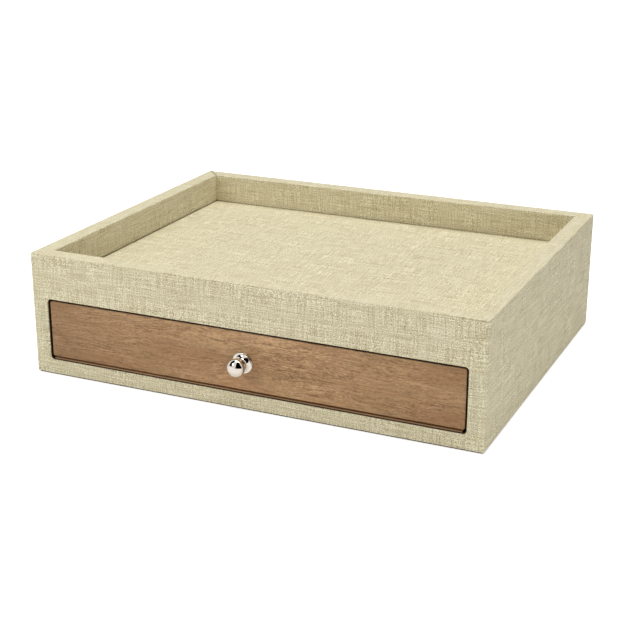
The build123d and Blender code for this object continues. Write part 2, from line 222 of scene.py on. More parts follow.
def strip_side(outward, along, distance, half_length, places, start_angle, end_angle):
    """One side of the strip. A row at inward distance d is a straight run with half a corner arc
    of radius r at each end: sideways (half_length - d - r) + r sin(a), outwards (distance - d - r)
    + r cos(a), where a goes from 0 to the mitre, less the angle that the slit at that end takes.
    Returns the points and how far along they lie."""
    run = half_length - strip_inward[:, None] - path_radius
    share = np.linspace(0, 1, arc_columns + 1)[1:][None, :]
    start = share[:, ::-1] * (start_angle - np.pi / 4)
    end = share * (np.pi / 4 - end_angle)
    angle = np.concatenate([start, np.zeros((len(run), len(places))), end], axis=1)
    arc = np.ones(arc_columns)
    straight = np.concatenate([-run * arc, run * (places / places.max()), run * arc], axis=1)
    sideways = straight + path_radius * np.sin(angle)
    length = straight + path_radius * angle
    across = distance - strip_inward[:, None] - path_radius * (1 - np.cos(angle))
    flat = across[..., None] * outward + sideways[..., None] * along
    level = np.broadcast_to(strip_level[:, None], sideways.shape)
    return np.concatenate([flat, level[..., None]], axis=2), length


side_places = {}
for side_name, (*_, half_length) in sides.items():
    reach = half_length - corner_radius
    side_places[side_name] = np.unique(np.concatenate([
        np.linspace(-reach, reach, int(reach / 4)),
        [-reach + support, reach - support],
    ]))
side_places["front"] = front_places

strip_points, strip_pattern, first_column = [], [], {}
columns_so_far, length_so_far = 0, 0.0
for side_name, (outward, along, distance, half_length) in sides.items():
    start_angle = seam_angle if side_name == "left" else slit_angle
    end_angle = seam_angle if side_name == "back" else slit_angle
    points, length = strip_side(
        outward, along, distance, half_length, side_places[side_name], start_angle, end_angle
    )
    middle = length_so_far + half_length
    first_column[side_name] = columns_so_far
    columns_so_far += points.shape[1]
    length_so_far += 2 * half_length - corner_radius * (2 - np.pi / 2)
    strip_points.append(points)
    run = np.broadcast_to(strip_run[:, None], length.shape)
    strip_pattern.append(np.stack([middle + length, run], axis=2))
strip_points = np.concatenate(strip_points, axis=1)
strip_pattern = np.concatenate(strip_pattern, axis=1)
strip_rows, strip_columns = strip_points.shape[:2]
print("strip grid:", strip_rows, "x", strip_columns)

# %% [markdown]
# ## The opening in the strip
# The cloth has a round-cornered hole for the drawer, and its edge is rolled into the opening.
# A grid has no round holes, so a rectangle of its faces round the opening is left out and a
# ring takes their place. The ring's outer points are the grid's own, and each is joined to the
# nearest point of the opening's outline, so both fit without a seam.

# %% Leave out the slits and the opening, and add the ring
face_row, face_column = np.meshgrid(
    np.arange(strip_rows - 1), np.arange(strip_columns - 1), indexing="ij"
)
faces = grid_faces(strip_rows, strip_columns)
face_row, face_column = face_row.ravel(), face_column.ravel()
deepest = np.maximum(strip_inward[face_row], strip_inward[face_row + 1])
last_columns = np.array([first_column[name] - 1 for name in ("front", "right", "back")])
in_slit = np.isin(face_column, last_columns) & (deepest > slit_stop)

front_columns = first_column["front"] + arc_columns + np.arange(len(front_places))
column_of_edge = [
    front_columns[np.argmin(abs(front_places - x))] for x in (-block_edge, block_edge)
]
on_wall = np.flatnonzero(strip_inward == 0)
row_of_edge = [on_wall[np.argmin(abs(strip_level[on_wall] - z))] for z in (block_low, block_high)]
in_block = (face_column >= column_of_edge[0]) & (face_column < column_of_edge[1])
in_block &= (face_row >= row_of_edge[0]) & (face_row < row_of_edge[1])
faces = faces[~in_slit & ~in_block]

low_row, high_row = row_of_edge
left_column, right_column = column_of_edge
loop = np.concatenate([
    low_row * strip_columns + np.arange(left_column, right_column),
    np.arange(low_row, high_row) * strip_columns + right_column,
    high_row * strip_columns + np.arange(right_column, left_column, -1),
    np.arange(high_row, low_row, -1) * strip_columns + left_column,
])
flat_points = strip_points.reshape(-1, 3)
flat_pattern = strip_pattern.reshape(-1, 2)
loop_place = flat_points[loop][:, [0, 2]] - [0, opening_level]
core = np.clip(loop_place, -(opening_half - opening_radius), opening_half - opening_radius)
outward = loop_place - core
outward /= np.linalg.norm(outward, axis=1, keepdims=True)
outline = core + opening_radius * outward
roll_radius = 0.5
roll = np.linspace(0, np.pi / 2, 6)
ring_offset = np.concatenate([
    [3.0, 1.6, roll_radius + support], roll_radius * (1 - np.sin(roll)), [0.0],
])
ring_depth = np.concatenate([[0, 0, 0], roll_radius * (1 - np.cos(roll)), [linen_thickness]])
ring_flat = outline[None] + ring_offset[:, None, None] * outward[None]
ring_points = np.stack([
    ring_flat[..., 0],
    -body_depth / 2 + np.broadcast_to(ring_depth[:, None], ring_flat.shape[:2]),
    ring_flat[..., 1] + opening_level,
], axis=2)
front_middle = flat_pattern[loop[0]] - flat_points[loop[0]][[0, 2]]
ring_pattern = ring_points[..., [0, 2]] + front_middle
ring_index = len(flat_points) + np.arange(ring_points.shape[0] * len(loop)).reshape(-1, len(loop))
ring_index = np.concatenate([loop[None], ring_index])
ring_faces = ring_index.ravel()[grid_faces(len(ring_index), len(loop), closed=True)]

linen_strip = make_piece(
    "linen_strip",
    np.concatenate([flat_points, ring_points.reshape(-1, 3)]),
    np.concatenate([faces, ring_faces]),
    "carcass",
    np.concatenate([flat_pattern, ring_pattern.reshape(-1, 2)]),
)
thickness = linen_strip.modifiers.new("cloth_thickness", "SOLIDIFY")
thickness.thickness = (linen_thickness - 0.1) * MM
thickness.offset = -1
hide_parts("linen_wrap")


# %% [markdown]
# ## Plates with eased edges
# The covered card on the tray's floor, the walnut face of the drawer and the felt sheets are
# all thin plates. A plate is a stack of outlines: up its side, round its eased edge and onto
# its face, each a little further in than the last. Flat caps close it.

# %% A plate as a stack of outlines
def plate(name, low, high, face_axis, toward, radius, ease, body, slot):
    """Plate that fills the box from low to high, its face turned to the given end of face_axis.
    A ring at angle a of the eased edge is inset by ease (1 - cos a) and lies ease (1 - sin a)
    below the face."""
    flat_axes = [axis for axis in range(3) if axis != face_axis]
    middle, half = (low + high) / 2, (high - low) / 2
    turn = np.linspace(0, np.pi / 2, 7)
    inset = np.concatenate([[0], ease * (1 - np.cos(turn)), [ease + 0.3]])
    depth = np.concatenate([[2 * half[face_axis]], ease * (1 - np.sin(turn)), [0]])
    centres, direction = rounded_outline(half[flat_axes], max(radius, ease + 0.35))
    rings = centres[None] + (max(radius, ease + 0.35) - inset)[:, None, None] * direction[None]
    points = np.zeros(rings.shape[:2] + (3,))
    points[..., flat_axes] = rings + middle[flat_axes]
    face_level = (high if toward > 0 else low)[face_axis]
    points[..., face_axis] = (face_level - toward * depth)[:, None]
    count = points.shape[1]
    walls = grid_faces(len(points), count, closed=True).tolist()
    top = (np.arange(count) + (len(points) - 1) * count).tolist()
    bottom = np.arange(count)[::-1].tolist()
    faces = walls + [top, bottom]
    turned_over = (face_axis == 1) == (toward > 0)
    if turned_over:
        faces = [face[::-1] for face in faces]
    points = points.reshape(-1, 3)
    return make_piece(name, points, faces, body, points[:, flat_axes])


card_gap = np.array([0.45, 0.45, 0])
covered_card = plate(
    "covered_floor_card", pad_low + card_gap, pad_high - card_gap, 2, 1, 0.8, 0.6,
    "carcass", "linen",
)
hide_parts("tray_floor_pad")
walnut_face = plate(
    "walnut_face", *corners("drawer_front_veneer"), 1, -1, 1.5, 0.6, "drawer", "walnut"
)
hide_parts("drawer_front_veneer")
foot_felt = plate("felt_foot_sheet", *corners("base_felt"), 2, -1, 1.0, 0.3, "carcass", "felt")
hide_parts("base_felt")
drawer_felt = plate(
    "felt_drawer_sheet", *corners("drawer_lining"), 2, 1, 1.0, 0.3, "drawer", "felt"
)
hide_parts("drawer_lining")
print("plates made")

# %% [markdown]
# ## The turned knob
# The knob is turned from one bar: a round foot with a bevelled rim, a hollow flare up to a
# neck, and a ball. The ball's mirror images in the picture suggest that it is flattened a little
# along its axis, so it is flatter here than the full sphere in the model, and its tip stands
# 2 mm less proud.
# A turned piece is its profile carried round a line, so the profile is written as radius and
# reach, and all points follow from it.

# %% Turn the knob
knob_low, knob_high = corners("knob")
foot_radius = (knob_high - knob_low)[0] / 2
foot_edge, foot_lip, foot_bevel = 0.8, 0.3, 0.2
neck_radius, ball_radius, ball_half_depth, ball_distance = 3.4, 6.4, 4.6, 10.0
flare_radius = foot_radius - foot_lip - neck_radius
flare = np.linspace(0, np.pi / 2, 25)
ball = np.linspace(-np.arccos(neck_radius / ball_radius), np.pi / 2, 65)
profile_radius = np.concatenate([
    [0, foot_radius - 0.05, foot_radius, foot_radius, foot_radius - 0.02],
    [foot_radius - foot_bevel, foot_radius - foot_bevel - 0.02],
    foot_radius - foot_lip - flare_radius * np.sin(flare),
    [neck_radius],
    ball_radius * np.cos(ball[:-1]),
    [0],
])
profile_reach = np.concatenate([
    [0, 0, 0.05, foot_edge - foot_bevel - 0.02, foot_edge - foot_bevel],
    [foot_edge, foot_edge],
    foot_edge + flare_radius - flare_radius * np.cos(flare),
    [ball_distance + ball_half_depth * np.sin(ball[0]) - 0.02],
    ball_distance + ball_half_depth * np.sin(ball[:-1]),
    [ball_distance + ball_half_depth],
])


def turned_piece(name, radius, reach, centre, body, columns=128):
    """Surface of revolution about a line along -Y: point = centre + radius (cos a, 0, sin a)
    - reach Y. The profile starts and ends on the line, and fans of triangles close it there."""
    angle = np.linspace(0, 2 * np.pi, columns, endpoint=False)
    ring = np.stack([np.cos(angle), np.zeros(columns), np.sin(angle)], axis=1)
    rows = radius[1:-1, None, None] * ring[None] - reach[1:-1, None, None] * np.array([0, 1, 0])
    ends = -np.array([[0, reach[0], 0], [0, reach[-1], 0]])
    points = np.concatenate([rows.reshape(-1, 3), ends]) + centre
    here = np.arange(columns)
    beside = (here + 1) % columns
    last = (len(radius) - 3) * columns
    start = np.full(columns, len(points) - 2)
    fan_start = np.stack([start, beside, here], axis=1)
    fan_end = np.stack([start + 1, last + here, last + beside], axis=1)
    faces = grid_faces(len(radius) - 2, columns, closed=True).tolist()
    return make_piece(name, points, faces + fan_start.tolist() + fan_end.tolist(), body)


knob_centre = np.array([(knob_low + knob_high)[0] / 2, knob_high[1], (knob_low + knob_high)[2] / 2])
turned_knob = turned_piece(
    "turned_knob", profile_radius, profile_reach, knob_centre, "drawer"
)
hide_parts("knob")
print("knob stands", round(profile_reach[-1], 2), "mm proud of the drawer face")

# %% [markdown]
# ## Colours and nodes
# A colour is written as the sRGB value that the eye sees, and one function turns it to the
# linear value that the renderer needs. One small helper adds a node with its settings and
# links, so that a material reads as a list of steps. Nearly every pattern on this object is
# threads, grain or fibres, which is noise drawn out along one direction, and a stain or a
# fleck is a second colour laid over the first where such noise is high. Both are used often,
# so each is a short helper that takes sizes in millimetres.

# %% Colour and node helpers
def paint(code):
    """Linear colour, with alpha, from an sRGB hex code."""
    parts = np.array([int(code[i:i + 2], 16) for i in (1, 3, 5)]) / 255
    linear = np.where(parts <= 0.04045, parts / 12.92, ((parts + 0.055) / 1.055) ** 2.4)
    return (*linear, 1.0)


def add_node(tree, kind, settings=None, inputs=None, output=0):
    """Adds a node and gives back one of its outputs. inputs maps a socket's name or number to a
    value or to another node's output."""
    node = tree.nodes.new("ShaderNode" + kind)
    for name, value in (settings or {}).items():
        setattr(node, name, value)
    for socket, value in (inputs or {}).items():
        if isinstance(value, bpy.types.NodeSocket):
            tree.links.new(value, node.inputs[socket])
        else:
            node.inputs[socket].default_value = value
    return node.outputs[output] if len(node.outputs) else node


def new_material(name, roughness, **constants):
    """Material with one Principled shader. Returns the material, its tree and the shader."""
    material = bpy.data.materials.new(name)
    material.use_nodes = True
    shader = material.node_tree.nodes["Principled BSDF"]
    shader.inputs["Roughness"].default_value = roughness
    for socket, value in constants.items():
        shader.inputs[socket.replace("_", " ")].default_value = value
    return material, material.node_tree, shader


def grains(tree, place, size_mm, detail=2.0, roughness=0.5, shift=(0, 0, 0)):
    """Noise in which one grain is size_mm long along each axis: noise(place / size + shift)."""
    scale = tuple(1 / size for size in size_mm)
    scaled = add_node(tree, "Mapping", None, {"Vector": place, "Location": shift, "Scale": scale})
    return add_node(tree, "TexNoise", None, {
        "Vector": scaled, "Scale": 1.0, "Detail": detail, "Roughness": roughness,
    })


def summed(tree, *patterns_and_shares):
    """Sum of patterns, each less its middle of a half and times its share."""
    total = -0.5 * sum(share for _, share in patterns_and_shares)
    for pattern, share in patterns_and_shares:
        terms = {0: pattern, 1: share, 2: total}
        total = add_node(tree, "Math", {"operation": "MULTIPLY_ADD"}, terms)
    return total


def laid_over(tree, colour, pattern, start, full, amount, tint):
    """The colour with a tint over it, by a share that grows from 0 to the amount while the
    pattern goes from start to full."""
    share = add_node(tree, "MapRange", None, {0: pattern, 1: start, 2: full, 4: amount})
    return add_node(tree, "Mix", {"data_type": "RGBA"}, {0: share, 6: colour, 7: tint}, 2)


def millimetres(tree):
    """Object coordinates in millimetres."""
    place = add_node(tree, "TexCoord", output=3)
    return add_node(tree, "Mapping", None, {"Vector": place, "Scale": (1 / MM,) * 3})


def raised(tree, shader, height, strength, millimetre):
    """Bump of the given height, in millimetres where the pattern is 1, on the shader."""
    bump = {"Height": height, "Strength": strength, "Distance": millimetre * MM}
    tree.links.new(add_node(tree, "Bump", None, bump), shader.inputs["Normal"])


def dress(material, *pieces):
    """Gives pieces one material in place of what they have."""
    for piece in pieces:
        piece.data.materials.clear()
        piece.data.materials.append(material)


print("paint('#808080') is", round(paint("#808080")[0], 3), "in linear light")

# %% [markdown]
# ## Linen book cloth
# The cover is natural linen, woven plain from uneven yarn and glued to paper. What the eye sees
# is a pale ground full of tiny flecks, one for each crossing of two yarns, with hair-thin
# straight lines among them where a yarn is darker or lighter for one or two centimetres. Such
# yarns usually lie about half a millimetre apart, too fine for the picture, so they are drawn
# 0.6 millimetres apart here. One noise makes the crossings and two drawn-out ones
# the yarns of each direction, all in the cloth's own flat pattern, so that they follow
# every fold.

# %% Linen
def linen_cloth(name, contrast, relief, weave_left_in_top_light):
    """Woven linen. contrast says how far the yarns stand out of the ground, relief how high they
    lie, and weave_left_in_top_light how much of both is left where the cloth faces up, as painted
    light: the even light from above that washes out the weave."""
    material, tree, shader = new_material(name, 0.85, Specular_IOR_Level=0.25, Sheen_Weight=0.08)
    place = add_node(tree, "UVMap", {"uv_map": "cloth"})
    drift = grains(tree, place, (40, 40, 1))
    drift = add_node(tree, "MapRange", None, {0: drift, 1: 0.3, 2: 0.7, 3: -0.5, 4: 0.5})
    place = add_node(tree, "VectorMath", {"operation": "ADD"}, {0: place, 1: drift})
    yarn = 0.6
    crossings = grains(tree, place, (yarn, yarn, 1), 1.0, 0.5, (19, 5, 0))
    weft = grains(tree, place, (26, yarn, 1), 1.0)
    warp = grains(tree, place, (yarn, 16, 1), 1.0, 0.5, (37, 11, 0))
    weave = summed(tree, (crossings, 1.0), (weft, 0.4), (warp, 0.34))
    # Painted light: where the cloth faces up its weave is flattened, standing in for the light from
    # above.
    facing = add_node(tree, "SeparateXYZ", None, {0: add_node(tree, "NewGeometry", output=1)}, 2)
    top_light_flattening = add_node(tree, "MapRange", None, {0: facing, 1: 0.5, 2: 0.9, 3: 1.0, 4: weave_left_in_top_light})
    weave = add_node(tree, "Math", {"operation": "MULTIPLY"}, {0: weave, 1: top_light_flattening})
    reach = 0.5 / contrast
    colour = laid_over(tree, paint("#A08E61"), weave, -reach, reach, 1.0, paint("#FFFADC"))
    slub_weft = grains(tree, place, (40, 1.2, 1), 1.0, 0.5, (5, 3, 0))
    slub_warp = grains(tree, place, (1.2, 40, 1), 1.0, 0.5, (9, 7, 0))
    slubs = add_node(tree, "Math", {"operation": "MAXIMUM"}, {0: slub_weft, 1: slub_warp})
    colour = laid_over(tree, colour, slubs, 0.64, 0.76, 0.12 * contrast, paint("#A2956A"))
    tree.links.new(colour, shader.inputs["Base Color"])
    raised(tree, shader, weave, relief, 0.25)
    return material


wall_linen = linen_cloth("linen_book_cloth", 2.05, 0.3, 0.6)
print("linen for the strip made")

# %% [markdown]
# ## The cut ends on the rim
# The picture shows a dark line along the rim's mitre at the back left corner, and fainter ones
# at others. The dark one is taken for the place where the strip's two ends meet, and drawn as
# painted shade, the shade that falls into the narrow gap between the cut ends. The strip's
# pattern says how far along it a point lies, so the distance to the nearer end, less the
# distance that the mitre takes there, is the distance to the cut.

# %% Painted shade along the cut ends
seam_shade_fades_at, seam_shade_full_at, seam_shade_share = 0.7, 0.4, 0.85
tree = wall_linen.node_tree
shader = tree.nodes["Principled BSDF"]
cloth_colour = shader.inputs["Base Color"].links[0].from_socket
place = add_node(tree, "UVMap", {"uv_map": "cloth"})
along = add_node(tree, "SeparateXYZ", None, {0: place})
from_end = add_node(tree, "Math", {"operation": "SUBTRACT"}, {0: float(length_so_far), 1: along})
nearest_end = add_node(tree, "Math", {"operation": "MINIMUM"}, {0: along, 1: from_end})
rim_rows = np.flatnonzero(strip_level == rim_level)[[0, -1]]
mitre = add_node(tree, "MapRange", None, {
    0: add_node(tree, "SeparateXYZ", None, {0: place}, 1),
    1: float(strip_run[rim_rows[0]]), 2: float(strip_run[rim_rows[1]]),
    3: float(strip_inward[rim_rows[0]]), 4: float(strip_inward[rim_rows[1]]),
})
to_cut = add_node(tree, "Math", {"operation": "SUBTRACT"}, {0: nearest_end, 1: mitre})
facing = add_node(tree, "SeparateXYZ", None, {0: add_node(tree, "NewGeometry", output=1)}, 2)
on_rim = add_node(tree, "MapRange", None, {0: facing, 1: 0.5, 2: 0.9, 4: seam_shade_share})
# Painted shade: the cloth on the rim darkens towards the cut ends, as the shade in the seam's gap.
cloth_colour = laid_over(
    tree, cloth_colour, to_cut, seam_shade_fades_at, seam_shade_full_at, on_rim, paint("#5E5338")
)
tree.links.new(cloth_colour, shader.inputs["Base Color"])
print("dark line from", seam_shade_fades_at, "mm to the cut")

# %% Put the cloth on the strip and the card
floor_linen = linen_cloth("linen_book_cloth_floor", 2.0, 0.3, 1.0)
dress(wall_linen, linen_strip)
dress(floor_linen, covered_card)
print("linen on", linen_strip.name, "and", covered_card.name)

# %% [markdown]
# ## Walnut veneer
# The drawer's face is a sheet of walnut with its grain along the drawer, under a satin lacquer.
# Pale brown wood carries fine wavy streaks, short dark pores and soft patches that lean to
# red or to olive, and this sheet is a little darker towards both ends. Each of these is one
# noise, drawn out along the grain by its real length and width, and the grain is bent a
# little first, so that the streaks wander.

# %% Walnut
def wood_place(tree, grain_axis, wander):
    """Place in mm with the grain turned to X and bent sideways by up to wander."""
    turn = {"x": (0, 0, 0), "y": (0, 0, np.pi / 2)}[grain_axis]
    place = add_node(tree, "Mapping", None, {"Vector": millimetres(tree), "Rotation": turn})
    bend_noise = grains(tree, place, (80, 30, 20))
    bend_amount = add_node(tree, "MapRange", None, {
        0: bend_noise, 1: 0.3, 2: 0.7, 3: -wander, 4: wander,
    })
    offset = add_node(tree, "CombineXYZ", None, {"Y": bend_amount, "Z": bend_amount})
    return add_node(tree, "VectorMath", {"operation": "ADD"}, {0: place, 1: offset})


walnut, tree, shader = new_material("walnut_veneer", 0.42, Specular_IOR_Level=0.35)
grain = wood_place(tree, "x", 3.5)
palest_at = 30.0
# Sizes of a grain in mm: along the drawer, into it, and up
streaks = grains(tree, grain, (34, 2, 1.1), 1.0)
lines = grains(tree, grain, (9, 1.5, 0.9), 1.0, 0.5, (7, 0, 0))
flecks = grains(tree, grain, (2.2, 1, 0.75), 1.0, 0.5, (0, 5, 9))
bands = grains(tree, grain, (160, 20, 11), 3.0)
patches = grains(tree, grain, (60, 33, 22), 2.0, 0.5, (11, 0, 4))
reddish = grains(tree, grain, (50, 20, 16), 2.0, 0.5, (3, 8, 15))
pores = grains(tree, grain, (11, 2, 1.1), 2.0, 0.6)
from_middle = add_node(tree, "SeparateXYZ", None, {0: grain})
from_middle = add_node(tree, "Math", {"operation": "SUBTRACT"}, {0: from_middle, 1: palest_at})
from_middle = add_node(tree, "Math", {"operation": "ABSOLUTE"}, {0: from_middle})
figure = summed(tree, (streaks, 0.5), (lines, 0.5), (flecks, 0.7), (bands, 0.4))
colour = laid_over(tree, paint("#7E5B36"), figure, -0.25, 0.25, 1.0, paint("#D0A87C"))
colour = laid_over(tree, colour, patches, 0.42, 0.62, 0.4, paint("#A58258"))
colour = laid_over(tree, colour, reddish, 0.48, 0.64, 0.45, paint("#A67852"))
colour = laid_over(tree, colour, pores, 0.56, 0.70, 0.5, paint("#634A2E"))
colour = laid_over(tree, colour, from_middle, 40.0, 170.0, 0.45, paint("#7A5835"))
tree.links.new(colour, shader.inputs["Base Color"])
raised(tree, shader, figure, 0.15, 0.2)
dress(walnut, walnut_face)
print("walnut on", walnut_face.name)

# %% [markdown]
# ## The plain woods
# The drawer box is a smooth light wood, the carcass is fibreboard, and the drawer's bottom is
# thin hardboard. Hardly any of them shows in the picture, so their kinds are guesses. An open
# drawer does show them, so each gets its own grain, or the felted fleck of pressed fibres.
# Under one level the front edge of the floor sheet is darkened, as painted shade where the
# cloth's rolled edge meets it, which gives the sill its lower line.

# %% Drawer wood, edge lining, fibreboard, hardboard and card
def plain_wood(name, grain_axis, pale, dark, fleck, roughness, painted_shade_below=-1.0):
    """Sawn and sanded solid wood: dark lines 100 mm long and 2 mm wide, and short flecks. Below
    the level painted_shade_below, in mm, its edge is darkened with painted shade."""
    material, tree, shader = new_material(name, roughness, Specular_IOR_Level=0.3)
    grain = wood_place(tree, grain_axis, 1.5)
    lines = grains(tree, grain, (100, 2.2, 2.2), 5.0, 0.6)
    flecks = grains(tree, grain, (7, 0.7, 0.7), 2.0, 0.6)
    colour = laid_over(tree, paint(pale), lines, 0.35, 0.65, 1.0, paint(dark))
    colour = laid_over(tree, colour, flecks, 0.6, 0.72, 0.4, paint(fleck))
    # Painted shade: below the given level the colour turns nearly black.
    level = add_node(tree, "SeparateXYZ", None, {0: millimetres(tree)}, 2)
    colour = laid_over(
        tree, colour, level, painted_shade_below + 0.1, painted_shade_below, 1.0, paint("#1E120A")
    )
    tree.links.new(colour, shader.inputs["Base Color"])
    raised(tree, shader, lines, 0.1, 0.2)
    return material


def pressed_fibre(name, base, fleck, size, roughness):
    """Board of pressed fibres: two grains of noise, size millimetres wide, without direction."""
    material, tree, shader = new_material(name, roughness, Specular_IOR_Level=0.2)
    place = millimetres(tree)
    coarse = grains(tree, place, (2.5 * size,) * 3, 4.0, 0.7)
    hairs = grains(tree, place, (size,) * 3, 3.0, 0.7, (7, 5, 3))
    colour = laid_over(tree, paint(base), coarse, 0.35, 0.65, 1.0, paint(fleck))
    colour = laid_over(tree, colour, hairs, 0.55, 0.7, 0.5, paint(base))
    tree.links.new(colour, shader.inputs["Base Color"])
    raised(tree, shader, hairs, 0.3, 0.3)
    return material


drawer_wood_across = plain_wood("poplar_across", "x", "#C7AB84", "#B39269", "#96764F", 0.5)
drawer_wood_along = plain_wood("poplar_along", "y", "#C7AB84", "#B39269", "#96764F", 0.5)
# Level in mm under which the floor sheet's front edge gets painted shade.
sill_shade_level = 12.15
floor_sheet_wood = plain_wood(
    "walnut_floor_sheet", "x", "#B48B62", "#96704B", "#6E5034", 0.5, sill_shade_level
)
# The edge lining has a dark brown stain of its own, and its colour is darkened further as painted
# shade, so that the gap round the drawer reads black.
dark_lining_and_gap_shade = plain_wood("stained_edge_lining_and_gap_shade", "x", "#35230F", "#281A0C", "#1B1108", 0.6)
stained_board = pressed_fibre("stained_fibreboard", "#4A331F", "#5B422A", 0.8, 0.75)
bare_board = pressed_fibre("fibreboard", "#A98A66", "#B99A76", 0.8, 0.8)
hardboard = pressed_fibre("hardboard", "#6F5238", "#82634A", 0.6, 0.6)
grey_card = pressed_fibre("grey_board_card", "#B1A793", "#9D937F", 1.2, 0.85)
dress(drawer_wood_across, nodes["drawer_inner_front"], nodes["drawer_back"])
dress(drawer_wood_along, nodes["drawer_left_side"], nodes["drawer_right_side"])
dress(dark_lining_and_gap_shade, nodes["opening_lining"])
dress(floor_sheet_wood, nodes["compartment_floor_lining"])
dress(stained_board, nodes["drawer_front_board"], nodes["rear_stops"])
for node_name in ("front_frame", "back_panel", "left_side_panel", "right_side_panel"):
    dress(bare_board, nodes[node_name])
dress(bare_board, nodes["corner_splines"], nodes["deck_board"], nodes["base_board"])
dress(hardboard, nodes["drawer_bottom"])
dress(grey_card, nodes["base_infill_card"])
print("woods and boards dressed")

# %% [markdown]
# ## Felt
# Felt is pressed wool: no threads, only a soft nap with lighter and darker fibres. A fine noise
# gives the fibres, a wide one the uneven nap, and a little sheen the soft edge that light
# leaves on loose fibres. No felt shows in the picture: it is what such a box often has.

# %% Felt sheets
def felt(name, base, pale):
    """Pressed felt with fibres about three quarters of a millimetre long."""
    material, tree, shader = new_material(name, 0.95, Specular_IOR_Level=0.1, Sheen_Weight=0.25)
    place = millimetres(tree)
    fibres = grains(tree, place, (0.7, 0.7, 0.7), 5.0, 0.75)
    nap = grains(tree, place, (20, 20, 20), 3.0)
    colour = laid_over(tree, paint(base), fibres, 0.35, 0.65, 1.0, paint(pale))
    colour = laid_over(tree, colour, nap, 0.4, 0.6, 0.25, paint(base))
    tree.links.new(colour, shader.inputs["Base Color"])
    raised(tree, shader, fibres, 0.5, 0.3)
    return material


brown_felt = felt("brown_felt", "#51443A", "#6A5B4E")
dress(brown_felt, foot_felt, drawer_felt, nodes["drawer_glides"])

# %% [markdown]
# ## Metals
# The knob is taken for polished nickel plate, a warm white metal that mirrors the room. The
# screws and pins, which the picture doesn't show, are zinc-plated steel, greyer and less
# smooth. Both are metals with a slight unevenness of the polish, which only their roughness
# shows.

# %% Nickel and zinc-plated steel
def metal(name, colour_code, smooth, worn, wear_mm):
    """Metal whose roughness wanders from smooth to worn over patches wear_mm wide."""
    material, tree, shader = new_material(name, smooth, Metallic=1.0)
    shader.inputs["Base Color"].default_value = paint(colour_code)
    wear = grains(tree, millimetres(tree), (wear_mm,) * 3, 3.0)
    rough = add_node(tree, "MapRange", None, {0: wear, 1: 0.35, 2: 0.65, 3: smooth, 4: worn})
    tree.links.new(rough, shader.inputs["Roughness"])
    return material


polished_nickel = metal("polished_nickel", "#DCD4CA", 0.03, 0.07, 2.0)
zinc_steel = metal("zinc_plated_steel", "#B9B9B4", 0.3, 0.42, 1.5)
dress(polished_nickel, turned_knob)
for node_name in ("knob_screw", "knob_washer", "front_fixing_screws", "drawer_corner_pins"):
    dress(zinc_steel, nodes[node_name])
print("metals dressed")

# %% [markdown]
# ## Floor, white surroundings and lamps
# The tray stands on a white floor in white surroundings. The floor is a matt white that also
# glows, but only for the camera and, less, for mirror images. The camera's glow grows away from
# the box, so that the far floor reads as paper white and the shadow at the box's foot is kept.
# The sky is white for the same rays, and for everything else it is an even soft light. A large
# soft lamp above lights the tray. One low strip, which metal doesn't mirror, lights the right
# side under the level of the rim, so that the walls inside the tray stay darker than the ones
# outside. A small key lamp from the upper left gives the knob its soft shadow. The lamps'
# strengths are fitted to the picture, and its real lights aren't known.

# %% Floor and sky
floor_half = 4000
near_paper, far_paper = 0.3, 1.2
near_glow, far_glow, mirrored_glow = 0.5, 1.0, 0.12
soft_sky_strength, white_sky_strength = 0.13, 1.0
floor_mesh = bpy.data.meshes.new("floor")
floor_corners = np.array([[-1, -1, 0], [1, -1, 0], [1, 1, 0], [-1, 1, 0]]) * floor_half * MM
floor_mesh.from_pydata(floor_corners.tolist(), [], [[0, 1, 2, 3]])
floor = bpy.data.objects.new("floor", floor_mesh)
bpy.context.scene.collection.objects.link(floor)

material, tree, shader = new_material("white_floor", 0.9, Specular_IOR_Level=0.0)
shader.inputs["Base Color"].default_value = paint("#FAFAFA")
shader.inputs["Emission Color"].default_value = paint("#FFFFFF")
path = tree.nodes.new("ShaderNodeLightPath").outputs
mirrored = add_node(tree, "Math", {"operation": "MAXIMUM"}, {
    0: path["Is Glossy Ray"], 1: path["Is Transmission Ray"],
})
glow = add_node(tree, "Math", {"operation": "MULTIPLY"}, {0: mirrored, 1: mirrored_glow})
place = add_node(tree, "TexCoord", output=3)
away = add_node(tree, "VectorMath", {"operation": "LENGTH"}, {0: place}, 1)
paper = add_node(tree, "MapRange", None, {
    0: away, 1: near_paper, 2: far_paper, 3: near_glow, 4: far_glow,
})
glow = add_node(tree, "Math", {"operation": "MULTIPLY_ADD"}, {
    0: path["Is Camera Ray"], 1: paper, 2: glow,
})
tree.links.new(glow, shader.inputs["Emission Strength"])
dress(material, floor)

world = bpy.data.worlds.new("white_sky")
bpy.context.scene.world = world
world.use_nodes = True
tree = world.node_tree
tree.nodes.clear()
path = tree.nodes.new("ShaderNodeLightPath").outputs
seen = add_node(tree, "Math", {"operation": "MAXIMUM"}, {
    0: path["Is Glossy Ray"], 1: path["Is Transmission Ray"],
})
seen = add_node(tree, "Math", {"operation": "MAXIMUM"}, {0: seen, 1: path["Is Camera Ray"]})
soft_sky = add_node(tree, "Background", None, {
    "Color": (1, 1, 1, 1), "Strength": soft_sky_strength,
})
white_sky = add_node(tree, "Background", None, {
    "Color": (1, 1, 1, 1), "Strength": white_sky_strength,
})
either = add_node(tree, "MixShader", None, {0: seen, 1: soft_sky, 2: white_sky})
add_node(tree, "OutputWorld", None, {"Surface": either})
print("floor and sky ready")

